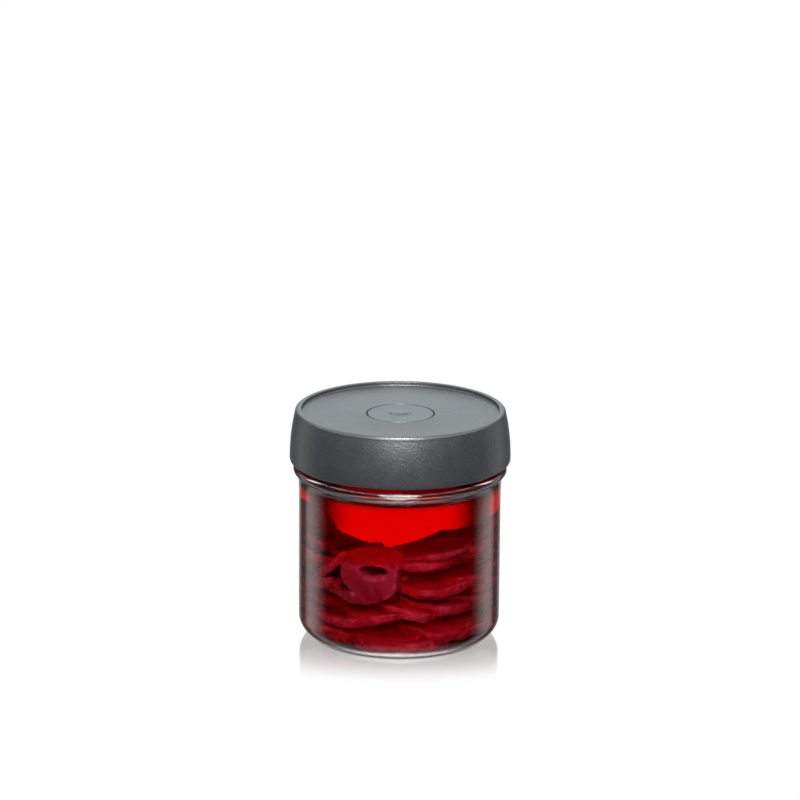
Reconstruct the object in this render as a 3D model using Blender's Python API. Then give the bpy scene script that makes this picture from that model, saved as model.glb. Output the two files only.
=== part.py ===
"""Fermentation jar: a squat glass jar packed with beet slices, shut by a wide plastic lid.

Metres, +Z up. The origin is on the floor under the jar's axis, and -Y is the front.
The brine round the slices has no solid.
"""

import math
import random

import bmesh
import bpy
from mathutils import Matrix, Vector

MM = 0.001
GAP = 0.3 * MM
ROUND_STEPS = 48

# Lid: a bowed skirt, a raised rim round a sunk top, and a well for the button
TOTAL_HEIGHT = 97.5 * MM
LID_BOTTOM = 75.5 * MM
LID_WIDEST = 46.0 * MM
RIM_OUTER = 43.9 * MM
RIM_INNER = 41.1 * MM
RIM_ROUND = 1.6 * MM
RIM_INNER_ROUND = 0.3 * MM
SKIRT_ROUND = 1.1 * MM
BOW_POWER = 2.1
TOP_SUNK = 2.1 * MM
COVE_WIDTH = 5.0 * MM
COVE_RISE = 0.4 * MM
COVE_ROUND = 0.5 * MM
LID_THICK = 2.9 * MM
WELL_RADIUS = 14.2 * MM
WELL_DEPTH = 1.9 * MM
SKIRT_INNER = 41.6 * MM

# Valve button: a loose disc in the well, with a finger dimple and a grip bar
BUTTON_SIDE_GAP = 0.4 * MM
DIMPLE_RADIUS = 6.2 * MM
DIMPLE_DEPTH = 0.45 * MM
BAR_SIZE = (9.0 * MM, 1.3 * MM, 0.7 * MM)

# Glass: neck inside the lid, a bead under it, a straight body and a rounded foot
BODY_RADIUS = 42.05 * MM
WALL = 2.9 * MM
NECK_OUTER = 41.1 * MM
NECK_INNER = 38.4 * MM
BEAD_RADIUS = 44.5 * MM
BEAD_ROUND = 2.0 * MM
BEAD_HEIGHT = 72.0 * MM
SHOULDER_FLARE = 0.95 * MM
SHOULDER_FADE = 2.4 * MM
FOOT_ROUND = 8.7 * MM
FOOT_RING_INNER = 27.0 * MM
PUSH_UP = 0.8 * MM
BASE_THICK = 2.0 * MM
INNER_ROUND = 6.6 * MM

# Beet slices: thick rounds against the wall, on a core that shows only in the gaps
SLICE_CLEARANCE = 0.45 * MM
SLICE_RADIUS = 16.0 * MM
SLICE_THICK = 5.2 * MM
SLICE_PITCH = 6.1 * MM
SLICE_SIDES = 14
SEED = 14
# Front slices: angle from the front, height in mm, lean out and tilt in degrees, radius and
# thickness in mm
FRONT = (
    (34, 43.2, -3, -7, 16.5, 4.0),
    (20, 40.6, 4, 2, 15.5, 4.2),
    (30, 31.0, 10, -5, 17.0, 4.8),
    (37, 21.5, 6, 4, 16.5, 4.8),
    (9, 21.0, 14, 11, 12.0, 4.2),
    (-15, 19.8, 16, -7, 13.5, 4.0),
    (-44, 14.8, 9, -6, 15.0, 4.4),
    (-62, 9.2, 5, 4, 16.0, 4.8),
    (36, 12.6, 14, -4, 15.5, 4.8),
    (13, 7.0, 9, 3, 14.0, 4.4),
    (-54, 35.5, 8, -36, 11.0, 4.2),
    (-63, 26.5, -5, -12, 15.0, 4.8),
    (-34, 25.0, -8, 6, 15.0, 4.8),
    (-9, 9.0, 20, -2, 15.0, 4.8),
    (-82, 44.0, -10, 6, 11.0, 4.4),
    (-22, 32.5, 2, 0, 13.0, 5.0),
    (63, 40.5, -3, 8, 15.0, 4.8),
    (64, 31.0, 4, -5, 15.0, 4.8),
    (66, 20.5, 2, 6, 15.0, 5.0),
    (63, 10.0, 6, -4, 15.0, 5.0),
)
FRONT_RIPPLE = (-0.09, 0.07)
# Each stack at the sides and back: its angle, its height in mm, and how far its slices lean out
STACKS = (
    (97, 44, -5),
    (138, 35.5, 5),
    (183, 33, 6),
    (227, 38, 4),
    (262, 40.5, -4),
)
CORE_RADIUS = 24.0 * MM
CORE_TOP = 37.0 * MM
CORE_SLOPE = 0.12

# Smaller slices that lean up the wall on both sides
LEANING_ANGLES = (-120, 112)
LEANING_RADIUS = 12.5 * MM
LEANING_DISTANCE = 29.5 * MM
LEANING_HEIGHT = 47.0 * MM
LEANING_TILT = -50

# Curled slice: a thick slice folded on itself at the front, seen end on. Its outline and rings are
# in mm; above its lip's height it falls back from the glass.
CURL_ANGLE = -20
CURL_HEIGHT = 36.2 * MM
CURL_OUTLINE = (
    (-12.1, 1.6),
    (-8.6, 10.6),
    (2.0, 12.2),
    (10.4, 10.4),
    (11.6, 4.6),
    (12.7, -2.6),
    (10.4, -8.6),
    (1.6, -12.4),
    (-5.4, -9.4),
    (-10.6, -3.6),
)
CURL_HOLLOW = (3.1 * MM, 2.2 * MM, 5.8 * MM, 1.7 * MM)
CURL_RINGS = ((1.2, 0.93), (3.4, 1.0), (9.5, 0.94), (16.0, 0.66))
CURL_HOLLOW_DEPTH = 9.0 * MM
CURL_LIP = 3.6
CURL_FALL_BACK = 1.6
CURL_SINK = 0.2


def arc(centre_r, centre_z, radius, start, end, steps):
    """Points of a round corner in the turning plane, from one angle to another in degrees."""
    points = []
    for i in range(steps + 1):
        angle = math.radians(start + (end - start) * i / steps)
        points.append((centre_r + radius * math.cos(angle), centre_z + radius * math.sin(angle)))
    return points


def material(name, colour, roughness, transmission=0.0):
    """A plain Principled finish."""
    made = bpy.data.materials.new(name)
    made.use_nodes = True
    shader = made.node_tree.nodes["Principled BSDF"]
    shader.inputs["Base Color"].default_value = (*colour, 1.0)
    shader.inputs["Roughness"].default_value = roughness
    shader.inputs["Transmission Weight"].default_value = transmission
    made.diffuse_color = (*colour, 1.0)
    return made


def finish(name, bm, finish_material, sharp_angle=35):
    """Turns a bmesh into the scene's object of that name, shaded smooth between its sharp edges."""
    bmesh.ops.recalc_face_normals(bm, faces=bm.faces)
    mesh = bpy.data.meshes.new(name)
    bm.to_mesh(mesh)
    bm.free()
    mesh.shade_smooth()
    mesh.set_sharp_from_angle(angle=math.radians(sharp_angle))
    mesh.materials.append(finish_material)
    made = bpy.data.objects.new(name, mesh)
    bpy.context.scene.collection.objects.link(made)
    return made


def turned(profile, steps=ROUND_STEPS):
    """A closed solid from half a cross-section, whose first and last points are on the axis or joined."""
    bm = bmesh.new()
    points = [bm.verts.new((r, 0, z)) for r, z in profile]
    edges = [bm.edges.new(pair) for pair in zip(points, points[1:])]
    if profile[0][0] > 0:
        edges.append(bm.edges.new((points[-1], points[0])))
    bmesh.ops.spin(
        bm,
        geom=points + edges,
        cent=(0, 0, 0),
        axis=(0, 0, 1),
        angle=math.tau,
        steps=steps,
        use_merge=True,
    )
    bmesh.ops.remove_doubles(bm, verts=bm.verts, dist=0.001 * MM)
    return bm


def skirt_radius(z):
    """Outer radius of the lid's bowed side at a height."""
    low = LID_BOTTOM + SKIRT_ROUND
    high = TOTAL_HEIGHT - RIM_ROUND
    share = (z - low) / (high - low)
    return LID_WIDEST - (LID_WIDEST - RIM_OUTER) * share**BOW_POWER


def lid_profile():
    """Half section of the lid: from the well's middle, over the rim and down the skirt, to the underside."""
    top = TOTAL_HEIGHT - TOP_SUNK
    under = top - LID_THICK
    edge = 0.25 * MM
    points = [(0, top - WELL_DEPTH), (WELL_RADIUS, top - WELL_DEPTH)]
    points += [(WELL_RADIUS, top - edge), (WELL_RADIUS + edge, top)]
    cove_steps = 3
    for i in range(cove_steps):
        share = i / cove_steps
        r = RIM_INNER - COVE_WIDTH + (COVE_WIDTH - COVE_ROUND) * share
        points.append((r, top + COVE_RISE * share**2))
    points += arc(RIM_INNER - COVE_ROUND, top + COVE_RISE + COVE_ROUND, COVE_ROUND, -80, 0, 2)
    points.append((RIM_INNER, TOTAL_HEIGHT - RIM_INNER_ROUND))
    points.append((RIM_INNER + RIM_INNER_ROUND, TOTAL_HEIGHT))
    points += arc(RIM_OUTER - RIM_ROUND, TOTAL_HEIGHT - RIM_ROUND, RIM_ROUND, 90, 0, 3)
    wall_steps = 6
    high = TOTAL_HEIGHT - RIM_ROUND
    low = LID_BOTTOM + SKIRT_ROUND
    for i in range(1, wall_steps):
        z = high + (low - high) * i / wall_steps
        points.append((skirt_radius(z), z))
    points += arc(LID_WIDEST - SKIRT_ROUND, low, SKIRT_ROUND, 0, -90, 3)
    points += [(SKIRT_INNER, LID_BOTTOM), (SKIRT_INNER, under), (0, under)]
    return points


def make_lid(finish_material):
    """The lid as one turned piece, hollow underneath."""
    return finish("lid", turned(lid_profile()), finish_material)


def make_button(finish_material):
    """The valve button: a turned disc flush with the lid's sunk top, its bar fused on."""
    radius = WELL_RADIUS - BUTTON_SIDE_GAP
    top = TOTAL_HEIGHT - TOP_SUNK
    bottom = top - WELL_DEPTH + GAP
    edge = 0.3 * MM
    dimple_steps = 4
    points = []
    for i in range(dimple_steps + 1):
        share = i / dimple_steps
        points.append((DIMPLE_RADIUS * share, top - DIMPLE_DEPTH * math.cos(share * math.pi / 2) ** 2))
    points += [(radius - edge, top), (radius, top - edge), (radius, bottom), (0, bottom)]
    button = finish("valve_button", turned(points, 40), finish_material)

    length, width, height = BAR_SIZE
    bm = bmesh.new()
    bmesh.ops.create_cube(bm, size=1)
    bmesh.ops.scale(bm, vec=(length, width, height), verts=bm.verts)
    upright = [e for e in bm.edges if abs(e.verts[0].co.z - e.verts[1].co.z) > 0.1 * MM]
    bmesh.ops.bevel(bm, geom=upright, offset=width * 0.45, segments=2, affect="EDGES")
    bmesh.ops.translate(bm, vec=(0, 0, top - height * 0.45), verts=bm.verts)
    bar = finish("grip_bar", bm, finish_material)
    fuse(button, [bar])
    return button


def shoulder_radius(z):
    """Outer radius of the glass just under the bead, where it flares out."""
    fade = math.exp(-(BEAD_HEIGHT - BEAD_ROUND - z) / SHOULDER_FADE)
    return BODY_RADIUS + SHOULDER_FLARE * fade


def glass_profile():
    """Half section of the glass: over the lip, down the outside, under the foot and up the inside."""
    lip = (NECK_OUTER - NECK_INNER) / 2
    lip_top = TOTAL_HEIGHT - TOP_SUNK - LID_THICK - GAP
    points = arc(NECK_INNER + lip, lip_top - lip, lip, 180, 0, 4)
    points.append((NECK_OUTER, BEAD_HEIGHT + BEAD_ROUND + 0.9 * MM))
    points += arc(BEAD_RADIUS - BEAD_ROUND, BEAD_HEIGHT, BEAD_ROUND, 75, -65, 6)
    for drop in (0.6, 2.4, 5.4, 10.0):
        z = BEAD_HEIGHT - BEAD_ROUND - drop * MM
        points.append((shoulder_radius(z), z))
    points += arc(BODY_RADIUS - FOOT_ROUND, FOOT_ROUND, FOOT_ROUND, 0, -90, 6)
    points += [(FOOT_RING_INNER, 0), (FOOT_RING_INNER * 0.6, PUSH_UP * 0.7), (0, PUSH_UP)]
    inner = BODY_RADIUS - WALL
    points += [(0, BASE_THICK + PUSH_UP * 0.4)]
    points += arc(inner - INNER_ROUND, BASE_THICK + INNER_ROUND, INNER_ROUND, -90, 0, 5)
    points += [(inner, BEAD_HEIGHT - 10 * MM), (NECK_INNER, BEAD_HEIGHT + 2 * MM)]
    return points


def make_glass(finish_material):
    """The glass jar as one turned shell, open at its mouth under the lid."""
    bm = bmesh.new()
    profile = glass_profile()
    foot = next(i for i, point in enumerate(profile) if point[0] == 0)
    outside = [bm.verts.new((r, 0, z)) for r, z in profile[: foot + 1]]
    inside = [bm.verts.new((r, 0, z)) for r, z in profile[foot + 1 :]]
    edges = [bm.edges.new(pair) for pair in zip(outside, outside[1:])]
    edges += [bm.edges.new(pair) for pair in zip(inside, inside[1:])]
    edges.append(bm.edges.new((inside[-1], outside[0])))
    bmesh.ops.spin(
        bm,
        geom=outside + inside + edges,
        cent=(0, 0, 0),
        axis=(0, 0, 1),
        angle=math.tau,
        steps=ROUND_STEPS,
        use_merge=True,
    )
    bmesh.ops.remove_doubles(bm, verts=bm.verts, dist=0.001 * MM)
    return finish("glass_jar", bm, finish_material)


def pressed(point):
    """Moves a point of a slice inside the glass, as slices pressed on the wall lie flat along it."""
    z = max(point.z, heap_floor())
    limit = BODY_RADIUS - WALL - SLICE_CLEARANCE
    below = BASE_THICK + INNER_ROUND - z
    if below > 0:
        limit += math.sqrt(max(INNER_ROUND**2 - below**2, 0)) - INNER_ROUND
    distance = math.hypot(point.x, point.y)
    scale = min(1.0, limit / distance) if distance > 0 else 1.0
    return Vector((point.x * scale, point.y * scale, z))


def heap_floor():
    """Height of the lowest slice's underside, just clear of the glass."""
    return BASE_THICK + PUSH_UP * 0.4 + SLICE_CLEARANCE


def front_slices(draw):
    """Size and place of the slices that show at the front, each laid by hand."""
    reach = BODY_RADIUS - WALL - SLICE_CLEARANCE
    plan = []
    for degrees, height, lean, tilt, radius, thick in FRONT:
        plan.append(
            {
                "angle": math.radians(degrees),
                "distance": reach - radius * MM,
                "height": height * MM,
                "tilt": math.radians(tilt),
                "lean": math.radians(lean),
                "radius": radius * MM,
                "thick": thick * MM,
                "oval": 1.0,
                "ripple": [draw.uniform(*FRONT_RIPPLE) for _ in range(SLICE_SIDES)],
            }
        )
    return plan


def stacked_slices(draw):
    """Size and place of each slice in the stacks, from the floor up. Low slices lie flatter."""
    reach = BODY_RADIUS - WALL - SLICE_CLEARANCE
    plan = []
    for degrees, top, lean_out in STACKS:
        room = top * MM - heap_floor()
        layers = round(room / SLICE_PITCH)
        for layer in range(layers):
            radius = SLICE_RADIUS * draw.uniform(0.88, 1.12)
            plan.append(
                {
                    "angle": math.radians(degrees + draw.uniform(-7, 7)),
                    "distance": reach - radius + draw.uniform(-1.8, 1.0) * MM,
                    "height": heap_floor() + room * (layer + draw.uniform(0.4, 0.6)) / layers,
                    "tilt": math.radians(draw.uniform(-9, 9)),
                    "lean": math.radians(lean_out * min(1, (layer + 1) / 3) + draw.uniform(-4, 4)),
                    "radius": radius,
                    "thick": SLICE_THICK * draw.uniform(0.85, 1.1),
                    "oval": draw.uniform(0.86, 1.0),
                    "ripple": [draw.uniform(-0.05, 0.05) for _ in range(SLICE_SIDES)],
                }
            )
    return plan


def leaning_slices(draw):
    """Size and place of the smaller slices that lean up the wall, above the stacks."""
    plan = []
    for degrees in LEANING_ANGLES:
        plan.append(
            {
                "angle": math.radians(degrees),
                "distance": LEANING_DISTANCE,
                "height": LEANING_HEIGHT + draw.uniform(-1.2, 1.2) * MM,
                "tilt": math.radians(draw.uniform(-12, 12)),
                "lean": math.radians(LEANING_TILT + draw.uniform(-5, 5)),
                "radius": LEANING_RADIUS * draw.uniform(0.92, 1.08),
                "thick": SLICE_THICK * 0.9,
                "oval": draw.uniform(0.9, 1.0),
                "ripple": [draw.uniform(-0.05, 0.05) for _ in range(SLICE_SIDES)],
            }
        )
    return plan


def make_slice(name, piece, finish_material):
    """A round slice with a worn edge, as a low mesh: two rims, a waist and two flat faces."""
    bm = bmesh.new()
    radius = piece["radius"]
    thick = piece["thick"]
    bmesh.ops.create_cone(
        bm, cap_ends=True, segments=SLICE_SIDES, radius1=radius, radius2=radius, depth=thick
    )
    sides = [e for e in bm.edges if abs(e.verts[0].co.z - e.verts[1].co.z) > thick / 2]
    cut = bmesh.ops.subdivide_edges(bm, edges=sides, cuts=1)["geom_inner"]
    waist = {item for item in cut if isinstance(item, bmesh.types.BMVert)}
    for vert in bm.verts:
        turn = math.atan2(vert.co.y, vert.co.x) % math.tau
        share = 1 + piece["ripple"][round(turn / math.tau * SLICE_SIDES) % SLICE_SIDES]
        share *= 1.0 if vert in waist else 0.93
        vert.co.x *= share
        vert.co.y *= share * piece["oval"]
    spot = Matrix.Rotation(piece["angle"], 4, "Z")
    spot = spot @ Matrix.Translation((0, -piece["distance"], piece["height"]))
    spot = spot @ Matrix.Rotation(piece["lean"], 4, "X") @ Matrix.Rotation(piece["tilt"], 4, "Y")
    bmesh.ops.transform(bm, matrix=spot, verts=bm.verts)
    for vert in bm.verts:
        vert.co = pressed(vert.co)
    return finish(name, bm, finish_material)


def make_core(finish_material):
    """The packed middle of the heap, its top falling towards the back."""
    bm = bmesh.new()
    bmesh.ops.create_cone(
        bm, cap_ends=True, segments=20, radius1=CORE_RADIUS, radius2=CORE_RADIUS, depth=2.0
    )
    for vert in bm.verts:
        high = vert.co.z > 0
        vert.co.z = CORE_TOP - CORE_SLOPE * vert.co.y if high else heap_floor()
    return finish("core", bm, finish_material)


def laid_back(v, depth):
    """Height and depth of a point of the curl: its upper lip falls back from the glass."""
    back = CURL_FALL_BACK * max(0, v - CURL_LIP)
    return v - CURL_SINK * back, depth + back


def make_curl(finish_material):
    """The curled slice: a thick fold with a hollow at its end, pressed on the wall at the front."""
    bm = bmesh.new()
    reach = BODY_RADIUS - WALL
    rings = []
    for depth, share in CURL_RINGS:
        ring = []
        for u, v in CURL_OUTLINE:
            high, deep = laid_back(v * share, depth)
            ring.append(bm.verts.new((u * MM * share, deep * MM - reach, CURL_HEIGHT + high * MM)))
        rings.append(ring)
    sides = len(CURL_OUTLINE)
    for ring, following in zip(rings, rings[1:]):
        for i in range(sides):
            j = (i + 1) % sides
            bm.faces.new((ring[i], ring[j], following[j], following[i]))
    bm.faces.new(rings[0])
    bm.faces.new(rings[-1])
    turn = Matrix.Rotation(math.radians(CURL_ANGLE), 4, "Z")
    bmesh.ops.transform(bm, matrix=turn, verts=bm.verts)
    for vert in bm.verts:
        vert.co = pressed(vert.co)
    curl = finish("curl", bm, finish_material)

    u, v, wide, high = CURL_HOLLOW
    cut = bmesh.new()
    bmesh.ops.create_cone(
        cut, cap_ends=True, segments=12, radius1=1, radius2=1, depth=2 * CURL_HOLLOW_DEPTH
    )
    bmesh.ops.scale(cut, vec=(wide, high, 1), verts=cut.verts)
    lay = Matrix.Translation((u, -reach, CURL_HEIGHT + v)) @ Matrix.Rotation(math.pi / 2, 4, "X")
    bmesh.ops.transform(cut, matrix=turn @ lay, verts=cut.verts)
    hollow = finish("hollow", cut, finish_material)
    boolean(curl, "DIFFERENCE", target=hollow)
    bpy.data.objects.remove(hollow)
    return curl


def boolean(body, operation, target=None, collection=None):
    """Applies one Boolean to an object: exact for one cutter, manifold for a collection."""
    cut = body.modifiers.new("join", "BOOLEAN")
    cut.operation = operation
    cut.solver = "EXACT" if collection is None else "MANIFOLD"
    if collection is None:
        cut.object = target
    else:
        cut.operand_type = "COLLECTION"
        cut.collection = collection
    bpy.context.view_layer.update()
    evaluated = body.evaluated_get(bpy.context.evaluated_depsgraph_get())
    mesh = bpy.data.meshes.new_from_object(evaluated)
    body.modifiers.remove(cut)
    body.data = mesh


def fuse(body, pieces):
    """Joins loose pieces to a body, then removes them."""
    group = bpy.data.collections.new("pieces")
    bpy.context.scene.collection.children.link(group)
    for piece in pieces:
        bpy.context.scene.collection.objects.unlink(piece)
        group.objects.link(piece)
    boolean(body, "UNION", collection=group)
    for piece in pieces:
        bpy.data.objects.remove(piece)
    bpy.data.collections.remove(group)


def connected_parts(bm):
    """The vertices of each separate shell."""
    left = set(bm.verts)
    parts = []
    while left:
        part = set()
        queue = [left.pop()]
        while queue:
            vert = queue.pop()
            part.add(vert)
            for edge in vert.link_edges:
                other = edge.other_vert(vert)
                if other in left:
                    left.remove(other)
                    queue.append(other)
        parts.append(part)
    return parts


def keep_outer_shell(body):
    """Drops the shells of hollows that fusing sealed, and any loose scrap."""
    bm = bmesh.new()
    bm.from_mesh(body.data)
    parts = sorted(connected_parts(bm), key=len)
    for part in parts[:-1]:
        bmesh.ops.delete(bm, geom=list(part), context="VERTS")
    bmesh.ops.triangulate(bm, faces=bm.faces)
    bm.to_mesh(body.data)
    bm.free()


def make_heap(finish_material):
    """The beet slices as one heap."""
    heap = make_core(finish_material)
    heap.name = "beet_slices"
    draw = random.Random(SEED)
    plan = front_slices(draw) + stacked_slices(draw) + leaning_slices(draw)
    slices = [make_slice(f"slice_{i}", piece, finish_material) for i, piece in enumerate(plan)]
    fuse(heap, [make_curl(finish_material), *slices])
    keep_outer_shell(heap)
    return heap


def main():
    for old in list(bpy.data.objects):
        bpy.data.objects.remove(old)
    charcoal = material("charcoal_plastic", (0.075, 0.078, 0.085), 0.42)
    grey = material("button_plastic", (0.085, 0.09, 0.098), 0.38)
    glass = material("clear_glass", (0.9, 0.93, 0.93), 0.02, transmission=1.0)
    beet = material("pickled_beet", (0.26, 0.004, 0.018), 0.3)
    make_lid(charcoal)
    make_button(grey)
    make_glass(glass)
    make_heap(beet)


main()
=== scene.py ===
"""Looks of the fermentation jar: glass, brine, beet slices, lid and valve button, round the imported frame.

Metres, +Z up, -Y towards the camera.
"""

import math
import random

import bpy
import numpy as np
from mathutils import Matrix, Vector, noise


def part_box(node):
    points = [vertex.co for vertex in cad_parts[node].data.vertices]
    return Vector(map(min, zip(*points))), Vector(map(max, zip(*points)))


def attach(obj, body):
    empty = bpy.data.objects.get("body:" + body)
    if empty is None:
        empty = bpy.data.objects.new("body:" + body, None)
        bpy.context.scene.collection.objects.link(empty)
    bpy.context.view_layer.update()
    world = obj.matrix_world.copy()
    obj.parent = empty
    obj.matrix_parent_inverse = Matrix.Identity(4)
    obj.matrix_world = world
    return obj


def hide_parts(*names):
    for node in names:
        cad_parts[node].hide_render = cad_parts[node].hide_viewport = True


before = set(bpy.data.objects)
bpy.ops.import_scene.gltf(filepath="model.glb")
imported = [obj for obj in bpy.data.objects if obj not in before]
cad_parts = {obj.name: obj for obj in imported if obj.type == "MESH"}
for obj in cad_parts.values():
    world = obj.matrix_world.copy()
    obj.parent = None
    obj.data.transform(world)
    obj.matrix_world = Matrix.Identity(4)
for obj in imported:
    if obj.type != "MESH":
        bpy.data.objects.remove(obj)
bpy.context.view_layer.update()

MM = 0.001
LID_LOW, LID_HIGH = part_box("lid")
BUTTON_LOW, BUTTON_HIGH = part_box("valve_button")
GLASS_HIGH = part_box("glass_jar")[1]

# Steps of what is turned, and the angles in degrees past which the edges of each piece are sharp
TURN_STEPS = 256
PLASTIC_SHARP = 30
ROUND_SHARP = 60
SLICE_SHARP = 75

# Lid, as in the frame: its widest radius, rim, sunk top, well and skirt
LID_WIDEST = LID_HIGH.x
RIM_OUTER = LID_WIDEST - 2.1 * MM
RIM_INNER = LID_WIDEST - 4.9 * MM
RIM_ROUND = 1.6 * MM
RIM_INNER_ROUND = 0.3 * MM
SKIRT_ROUND = 1.1 * MM
SKIRT_INNER = LID_WIDEST - 4.4 * MM
BOW_POWER = 2.1
SUNK_TOP = LID_HIGH.z - 2.1 * MM
COVE_WIDTH = 5.0 * MM
COVE_RISE = 0.4 * MM
COVE_ROUND = 0.5 * MM
LID_THICK = 2.9 * MM
WELL_RADIUS = 14.2 * MM
WELL_DEPTH = 1.9 * MM
WELL_ROUND = 0.3 * MM
LID_EDGE = 0.25 * MM

# Valve button, with a finger dimple and a raised bar in it
BUTTON_RADIUS = BUTTON_HIGH.x
BUTTON_EDGE = 0.35 * MM
BUTTON_STEPS = 160
DIMPLE_RADIUS = 6.2 * MM
DIMPLE_DEPTH = 0.45 * MM
BAR_LENGTH = 9.0 * MM
BAR_WIDTH = 1.3 * MM
BAR_HEIGHT = 0.45 * MM

# Glass: neck, bead, shoulder, body and foot outside, and the rounded inside
BEAD_RADIUS = 44.5 * MM
BODY_RADIUS = BEAD_RADIUS - 2.45 * MM
WALL = 2.9 * MM
INNER_RADIUS = BODY_RADIUS - WALL
NECK_OUTER = BEAD_RADIUS - 3.4 * MM
NECK_INNER = NECK_OUTER - 2.7 * MM
NECK_BLEND = 8.0 * MM
BEAD_ROUND = 2.0 * MM
BEAD_HEIGHT = 72.0 * MM
# Points of the fillet between neck and bead: outward of the neck and above the bead, in mm
NECK_FILLET = ((0.0, 1.6), (0.15, 0.9), (0.7, 0.3))
SHOULDER_FLARE = 0.95 * MM
SHOULDER_FADE = 2.4 * MM
SHOULDER_DROP = 16.0 * MM
FOOT_ROUND = 8.7 * MM
FOOT_RING_INNER = 27.0 * MM
PUSH_UP = 0.8 * MM
BASE_THICK = 2.0 * MM
BASE_TOP = BASE_THICK + PUSH_UP * 0.4
INNER_ROUND = 6.6 * MM

# Brine: how far it reaches into the wall, its level under the neck, and its rise at the glass
BRINE_INTO_WALL = 0.2 * MM
BRINE_LEVEL = 65.9 * MM
MENISCUS = 1.0 * MM
MENISCUS_FADE = 1.6 * MM
MENISCUS_REACH = 9.0 * MM

# Beet slices, by the same rule as the frame's heap
SLICE_CLEARANCE = 0.45 * MM
SLICE_REACH = INNER_RADIUS - SLICE_CLEARANCE
HEAP_FLOOR = BASE_TOP + SLICE_CLEARANCE
SLICE_RADIUS = 16.0 * MM
SLICE_THICK = 5.2 * MM
SLICE_PITCH = 6.1 * MM
SLICE_SIDES = 14
SEED = 14
# Front slices: angle from the front, height in mm, lean out and tilt in degrees, radius and
# thickness in mm, and how dark the slice is, partly its own tone and partly painted shade
FRONT = (
    (34, 43.2, -3, -7, 16.5, 4.0, 0.5),
    (20, 40.6, 4, 2, 15.5, 4.2, 0.1),
    (30, 31.0, 10, -5, 17.0, 4.8, 0.2),
    (37, 21.5, 6, 4, 16.5, 4.8, 0.4),
    (9, 21.0, 14, 11, 12.0, 4.2, 0.2),
    (-15, 19.8, 16, -7, 13.5, 4.0, 0.2),
    (-44, 14.8, 9, -6, 15.0, 4.4, 0.3),
    (-62, 9.2, 5, 4, 16.0, 4.8, 0.5),
    (36, 12.6, 14, -4, 15.5, 4.8, 0.3),
    (13, 7.0, 9, 3, 14.0, 4.4, 0.3),
    (-54, 35.5, 8, -36, 11.0, 4.2, 0.3),
    (-63, 26.5, -5, -12, 15.0, 4.8, 0.6),
    (-34, 25.0, -8, 6, 15.0, 4.8, 0.9),
    (-9, 9.0, 20, -2, 15.0, 4.8, 0.4),
    (-82, 44.0, -10, 6, 11.0, 4.4, 1.0),
    (-22, 32.5, 2, 0, 13.0, 5.0, 0.9),
    (63, 40.5, -3, 8, 15.0, 4.8, 0.7),
    (64, 31.0, 4, -5, 15.0, 4.8, 0.6),
    (66, 20.5, 2, 6, 15.0, 5.0, 0.7),
    (63, 10.0, 6, -4, 15.0, 5.0, 0.6),
)
FRONT_RIPPLE = (-0.09, 0.07)
# Each stack at the sides and back: its angle, its height in mm, and how far its slices lean out
STACKS = (
    (97, 44, -5),
    (138, 35.5, 5),
    (183, 33, 6),
    (227, 38, 4),
    (262, 40.5, -4),
)
CORE_RADIUS = 24.0 * MM
CORE_TOP = 37.0 * MM
CORE_SLOPE = 0.12
CORE_STEPS = 64
# Painted shade: how dark the core is where it shows between the slices
CORE_SHADE = 0.9
LEANING_ANGLES = (-120, 112)
LEANING_RADIUS = 12.5 * MM
LEANING_DISTANCE = 29.5 * MM
LEANING_HEIGHT = 47.0 * MM
LEANING_TILT = -50
LOOSE_RIPPLE = (-0.05, 0.05)
LOOSE_TONE = (0.2, 0.9)

# Curled slice: its outline and hollow are in mm; above its lip's height it falls back from the glass
CURL_ANGLE = -20
CURL_HEIGHT = 36.2 * MM
CURL_OUTLINE = (
    (-12.1, 1.6),
    (-8.6, 10.6),
    (2.0, 12.2),
    (10.4, 10.4),
    (11.6, 4.6),
    (12.7, -2.6),
    (10.4, -8.6),
    (1.6, -12.4),
    (-5.4, -9.4),
    (-10.6, -3.6),
)
CURL_HOLLOW = (3.1, 2.2, 5.8, 1.7)
CURL_LIP = 3.6
CURL_FALL_BACK = 1.6
CURL_SINK = 0.2
# How dark the painted shade on the curl's lower part is
CURL_SHADE = 0.6
CURL_STEPS = 128
CORNER_EASE = 0.22
# Features of the slices' rough, craggy and fine relief in a metre, and of the curl's in a mm
SLICE_RELIEF = (170, 330, 1300)
CURL_RELIEF = (0.30, 0.55, 1.4)
MARK_PITCH = 4.0

# The photo's camera, in a frame of 800 x 800 pixels
FRAME_PX = 800
AIM_HEIGHT = 48.0 * MM
AIM_PX = (400.6, 522.1)
VIEW_DOWN = math.radians(17.13)
VIEW_ROLL = math.radians(0.45)
VIEW_DISTANCE = 2.0257
FOCAL_PX = 4844
SENSOR = 36.0

# The floor's mirror: how strong, where it fades, and how much wider than deep it is
MIRROR = 0.56
MIRROR_FADE = (30 * MM, 70 * MM)
MIRROR_NARROW = 0.7
# The floor's painted contact shadow round the foot: where it fades, and how dark it is
CONTACT_FADE = (35.0 * MM, 37.5 * MM)
CONTACT_SHADE = 0.85
FLOOR_HALF = 30.0
FLOOR_DROP = 0.02 * MM

# The studio: angles from straight behind the jar in degrees, heights as a share of straight up.
# The wall behind the jar, and the light from the floor
WALL_FADE = (13, 30)
FLOOR_RISE = (0.0, 0.27)
FLOOR_GLOW = 0.35
BELOW_RISE = (0.55, 0.9)
BELOW_GLOW = 0.6
# The panel at each side, and the darker gap between it and the wall
PANEL_RISE = (38, 52)
PANEL_FADE = (58, 86)
PANEL_TOP = (-0.1, 0.25)
PANEL_GLOW = 0.85
GAP_GLOW = 0.10
# The cool light from above, with a strip high at both sides
ABOVE_RISE = (0.1, 0.7)
ABOVE_GLOW = 1.0
COOL_RISE = (0.1, 0.3)
COOL_SKY = (0.86, 0.98, 1.0)
STRIP_RISE = (0.60, 0.63)
STRIP_FADE = (0.68, 0.71)
STRIP_SIDES = (40, 70)
STRIP_GLOW = 8.0
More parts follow.
